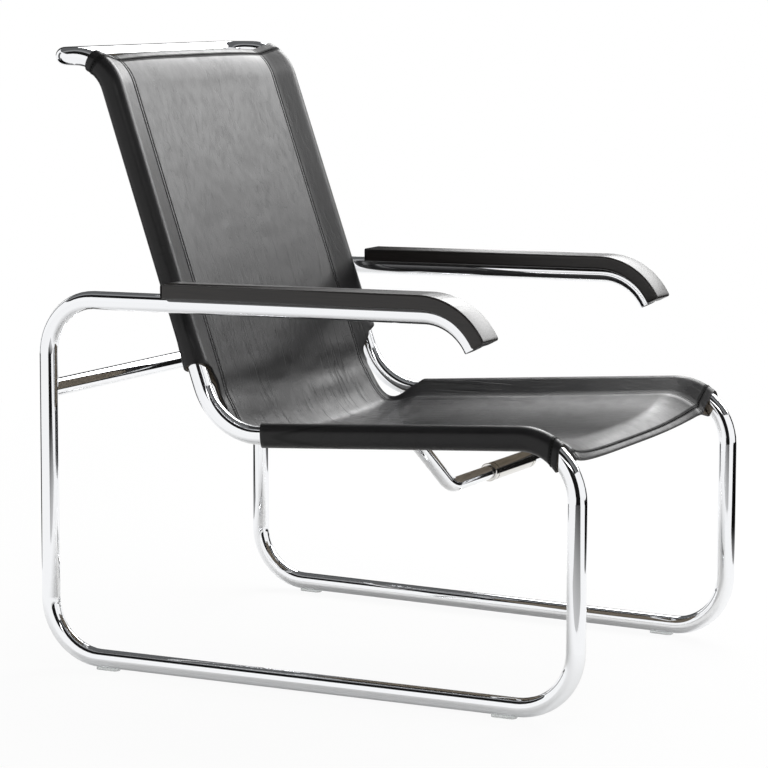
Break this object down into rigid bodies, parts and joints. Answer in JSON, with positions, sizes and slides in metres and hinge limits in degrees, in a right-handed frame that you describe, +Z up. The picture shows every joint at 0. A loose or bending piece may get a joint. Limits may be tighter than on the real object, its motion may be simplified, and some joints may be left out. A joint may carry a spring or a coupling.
{
  "type": "cantilever lounge chair",
  "caption": "Cantilever lounge chair: a chromed round-tube frame with floor runners carries a stretched leather sling seat and back and wooden armrests.",
  "frame": {"origin": "on the floor, in the middle of the chair's width and of its whole depth", "axes": "+Z up; the sitter faces -Y; +X is the sitter's left"},
  "size_m": [0.629, 0.816, 0.84],
  "materials": {
    "chrome_tube": "polished chrome plate",
    "chrome_sleeve": "polished, fine turning marks",
    "steel_part": "plain turned or drawn steel",
    "black_leather": "smooth thick saddle hide with a soft sheen, black thread",
    "black_wood": "black stained and lacquered, satin",
    "clear_plastic": "clear moulded plastic",
    "black_plastic": "matt black"
  },
  "bodies": {
    "frame": {"back_bow": "chrome_tube", "rear_cross_brace": "chrome_tube", "leather_sling": "black_leather", "side_frame_right": "chrome_tube", "side_frame_left": "chrome_tube", "back_spigot_right": "steel_part", "back_spigot_left": "steel_part", "seat_brace_right": "chrome_tube", "seat_brace_left": "chrome_tube", "tension_stud_right": "steel_part", "tension_stud_left": "steel_part", "armrest_right": "black_wood", "armrest_left": "black_wood", "armrest_screws_right": "steel_part", "armrest_screws_left": "steel_part", "arm_end_plug_right": "black_plastic", "arm_end_plug_left": "black_plastic", "floor_glide_rear_right": "clear_plastic", "floor_glide_rear_left": "clear_plastic", "floor_glide_front_right": "clear_plastic", "floor_glide_front_left": "clear_plastic"},
    "tension_sleeve": {"tension_sleeve": "chrome_sleeve"}
  },
  "joints": [
    {"name": "tension_sleeve_turn", "type": "hinge", "parent": "frame", "child": "tension_sleeve", "pos_m": [0, -0.17849, 0.275], "axis": [1, 0, 0], "range_deg": [-360, 360]}
  ]
}
